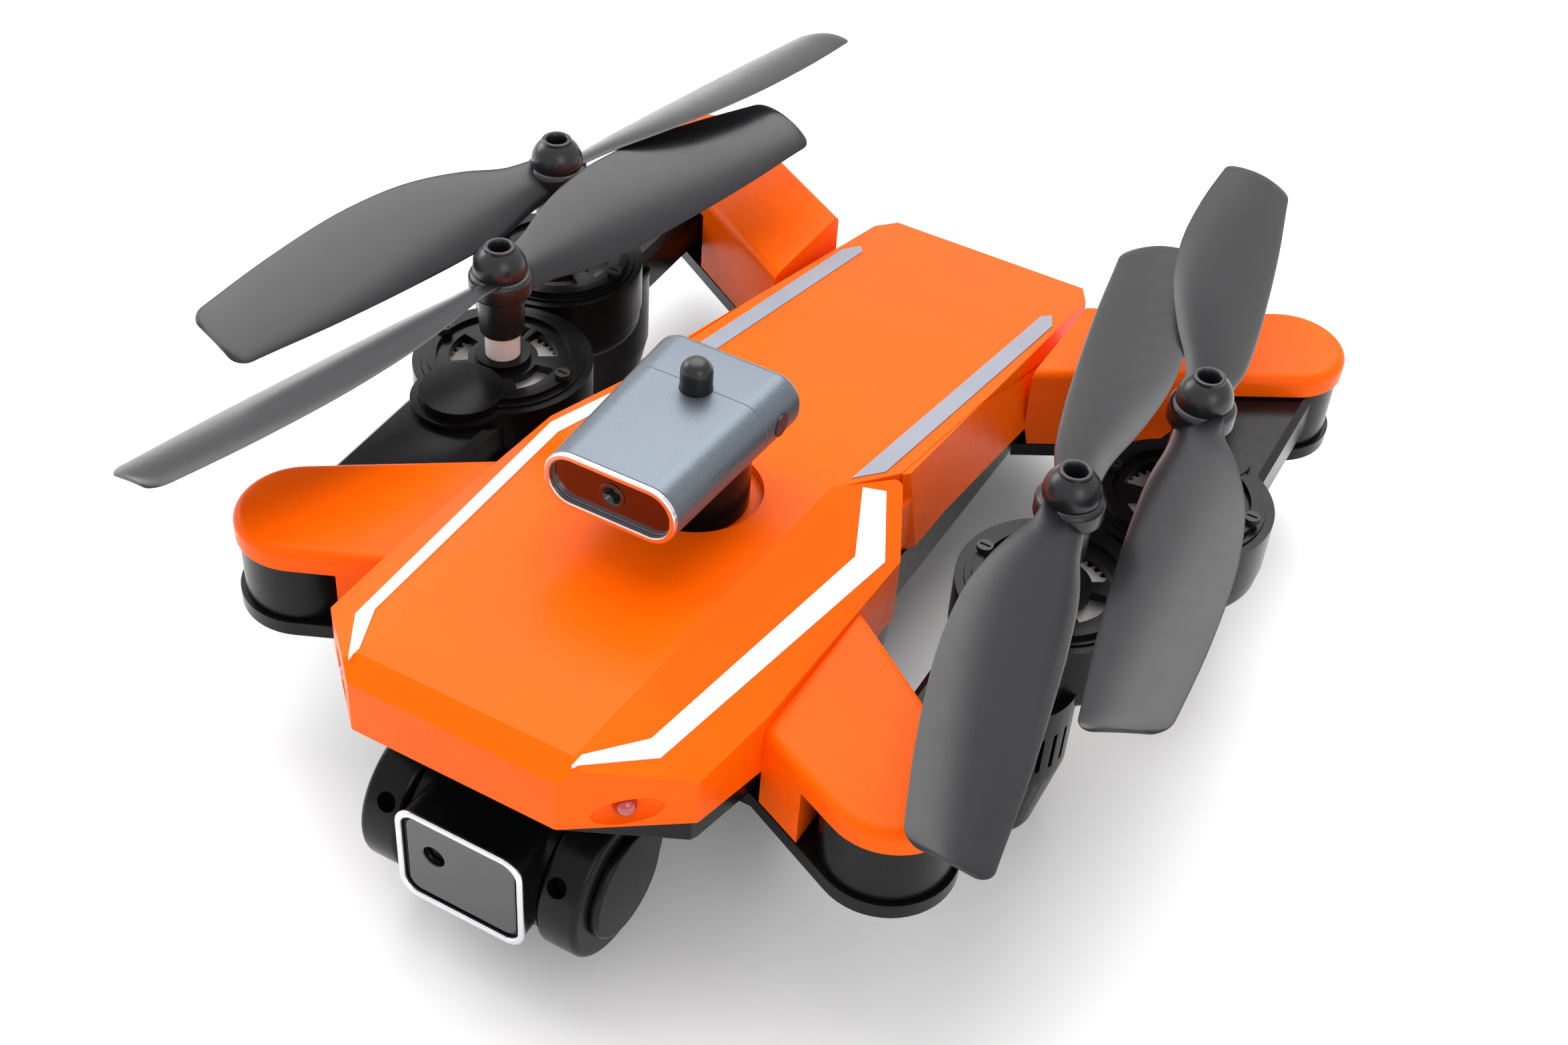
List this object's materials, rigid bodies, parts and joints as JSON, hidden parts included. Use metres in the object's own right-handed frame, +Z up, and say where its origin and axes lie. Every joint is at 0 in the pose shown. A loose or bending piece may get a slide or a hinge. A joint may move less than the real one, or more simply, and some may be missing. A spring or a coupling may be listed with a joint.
{
  "type": "folding camera drone",
  "caption": "Small folding camera drone with arms stored along the body, geared propellers over long feet, a tilting nose camera and a swivelling sensor turret.",
  "frame": {"origin": "on the ground, under the middle of the folded drone", "axes": "nose towards -Y, +Z up, right of the drone (seen from in front of its nose) along +X"},
  "size_m": [0.138, 0.1574, 0.0623],
  "materials": {
    "orange_shell": "satin moulded plastic",
    "black_shell": "fine textured moulded plastic",
    "propeller_plastic": "matte dark grey",
    "hood_stripe": "satin light grey print",
    "deck_stripe": "satin blue-grey print",
    "head_metallic": "blue-grey metallic paint on plastic",
    "bright_trim": "thin bright plated rim",
    "red_window": "dark red tinted panel",
    "gloss_black": "glossy black",
    "clear_red_lamp": "clear red lamp dome",
    "white_nylon": "white nylon",
    "brass": "machined",
    "motor_can": "bright nickel-plated can",
    "steel": "black-oxide and plain steel screws and pins",
    "circuit_board": "green solder mask with black chips",
    "cell_wrap": "shrink-wrapped pouch cell",
    "button_plastic": "smooth button"
  },
  "bodies": {
    "body": {"lower_shell": "black_shell", "upper_shell": "orange_shell", "hood_stripes": "hood_stripe", "lamp_panels": "orange_shell", "nose_lamps": "clear_red_lamp", "lug_caps": "orange_shell", "pivot_pins": "steel", "body_screws": "steel", "flight_board": "circuit_board", "flow_camera": "gloss_black", "camera_brackets": "black_shell", "bracket_caps": "black_shell"},
    "battery_module": {"battery_tray": "black_shell", "battery_cover": "orange_shell", "deck_stripes": "deck_stripe", "battery_cell": "cell_wrap"},
    "power_button": {"power_button": "button_plastic"},
    "camera": {"camera_body": "black_shell", "camera_frame": "bright_trim", "camera_window": "gloss_black", "camera_lens": "gloss_black"},
    "sensor_head": {"head_stem": "black_shell", "head_sleeve": "head_metallic", "head_rear": "head_metallic", "head_trim": "bright_trim", "head_window": "red_window", "head_lens": "gloss_black", "head_infrared_lenses": "gloss_black"},
    "rear_right_arm": {"rear_right_arm_upper": "black_shell", "rear_right_arm_lower": "black_shell", "rear_right_gear_cover": "black_shell", "rear_right_cover_screws": "steel", "rear_right_motor": "motor_can"},
    "rear_right_rotor": {"rear_right_main_gear": "white_nylon", "rear_right_propeller": "propeller_plastic"},
    "rear_right_pinion": {"rear_right_pinion": "brass"},
    "front_right_arm": {"front_right_arm_upper": "black_shell", "front_right_arm_lower": "black_shell", "front_right_gear_cover": "black_shell", "front_right_cover_screws": "steel", "front_right_motor": "motor_can"},
    "front_right_rotor": {"front_right_main_gear": "white_nylon", "front_right_propeller": "propeller_plastic"},
    "front_right_pinion": {"front_right_pinion": "brass"},
    "rear_left_arm": {"rear_left_arm_upper": "black_shell", "rear_left_arm_lower": "black_shell", "rear_left_gear_cover": "black_shell", "rear_left_cover_screws": "steel", "rear_left_motor": "motor_can"},
    "rear_left_rotor": {"rear_left_main_gear": "white_nylon", "rear_left_propeller": "propeller_plastic"},
    "rear_left_pinion": {"rear_left_pinion": "brass"},
    "front_left_arm": {"front_left_arm_upper": "black_shell", "front_left_arm_lower": "black_shell", "front_left_gear_cover": "black_shell", "front_left_cover_screws": "steel", "front_left_motor": "motor_can"},
    "front_left_rotor": {"front_left_main_gear": "white_nylon", "front_left_propeller": "propeller_plastic"},
    "front_left_pinion": {"front_left_pinion": "brass"}
  },
  "joints": [
    {"name": "rear_right_arm_fold", "type": "hinge", "parent": "body", "child": "rear_right_arm", "pos_m": [0.0514, 0.06276, 0.023], "axis": [0, 0, 1], "range_deg": [0, 125]},
    {"name": "rear_right_propeller_spin", "type": "hinge", "parent": "rear_right_arm", "child": "rear_right_rotor", "pos_m": [0.0509, 0.01796, 0.033], "axis": [0, 0, 1], "range_deg": [-125, 0]},
    {"name": "rear_right_pinion_spin", "type": "hinge", "parent": "rear_right_arm", "child": "rear_right_pinion", "pos_m": [0.05101, 0.02816, 0.029], "axis": [0, 0, 1], "range_deg": [0, 583.83]},
    {"name": "front_right_arm_fold", "type": "hinge", "parent": "body", "child": "front_right_arm", "pos_m": [0.0426, -0.05224, 0.029], "axis": [0, 0, 1], "range_deg": [-125, 0]},
    {"name": "front_right_propeller_spin", "type": "hinge", "parent": "front_right_arm", "child": "front_right_rotor", "pos_m": [0.0432, -0.00744, 0.033], "axis": [0, 0, 1], "range_deg": [0, 125]},
    {"name": "front_right_pinion_spin", "type": "hinge", "parent": "front_right_arm", "child": "front_right_pinion", "pos_m": [0.04306, -0.01764, 0.029], "axis": [0, 0, 1], "range_deg": [-583.83, 0]},
    {"name": "rear_left_arm_fold", "type": "hinge", "parent": "body", "child": "rear_left_arm", "pos_m": [-0.0514, 0.06276, 0.023], "axis": [0, 0, -1], "range_deg": [0, 125]},
    {"name": "rear_left_propeller_spin", "type": "hinge", "parent": "rear_left_arm", "child": "rear_left_rotor", "pos_m": [-0.0509, 0.01796, 0.033], "axis": [0, 0, -1], "range_deg": [-125, 0]},
    {"name": "rear_left_pinion_spin", "type": "hinge", "parent": "rear_left_arm", "child": "rear_left_pinion", "pos_m": [-0.05101, 0.02816, 0.029], "axis": [0, 0, -1], "range_deg": [0, 583.83]},
    {"name": "front_left_arm_fold", "type": "hinge", "parent": "body", "child": "front_left_arm", "pos_m": [-0.0426, -0.05224, 0.029], "axis": [0, 0, -1], "range_deg": [-125, 0]},
    {"name": "front_left_propeller_spin", "type": "hinge", "parent": "front_left_arm", "child": "front_left_rotor", "pos_m": [-0.0432, -0.00744, 0.033], "axis": [0, 0, -1], "range_deg": [0, 125]},
    {"name": "front_left_pinion_spin", "type": "hinge", "parent": "front_left_arm", "child": "front_left_pinion", "pos_m": [-0.04306, -0.01764, 0.029], "axis": [0, 0, -1], "range_deg": [-583.83, 0]},
    {"name": "camera_tilt", "type": "hinge", "parent": "body", "child": "camera", "pos_m": [0, -0.06744, 0.0162], "axis": [1, 0, 0], "range_deg": [-20, 90]},
    {"name": "sensor_head_swivel", "type": "hinge", "parent": "body", "child": "sensor_head", "pos_m": [0, -0.02754, 0.046], "axis": [0, 0, 1], "range_deg": [-90, 90]},
    {"name": "battery_module_slide", "type": "slide", "parent": "body", "child": "battery_module", "axis": [0, 1, 0], "range_m": [0, 0.06]},
    {"name": "power_button_press", "type": "slide", "parent": "battery_module", "child": "power_button", "axis": [0, -1, 0], "range_m": [0, 0.0006], "stiffness_N_per_m": 500}
  ],
  "couplings": [
    {"joint": "front_right_arm_fold", "follows": "rear_right_arm_fold", "ratio": -1},
    {"joint": "rear_right_propeller_spin", "follows": "rear_right_arm_fold", "ratio": -1},
    {"joint": "front_right_propeller_spin", "follows": "rear_right_arm_fold", "ratio": 1},
    {"joint": "rear_right_pinion_spin", "follows": "rear_right_arm_fold", "ratio": 4.6667},
    {"joint": "front_right_pinion_spin", "follows": "rear_right_arm_fold", "ratio": -4.6667},
    {"joint": "front_left_arm_fold", "follows": "rear_left_arm_fold", "ratio": -1},
    {"joint": "rear_left_propeller_spin", "follows": "rear_left_arm_fold", "ratio": -1},
    {"joint": "front_left_propeller_spin", "follows": "rear_left_arm_fold", "ratio": 1},
    {"joint": "rear_left_pinion_spin", "follows": "rear_left_arm_fold", "ratio": 4.6667},
    {"joint": "front_left_pinion_spin", "follows": "rear_left_arm_fold", "ratio": -4.6667}
  ]
}
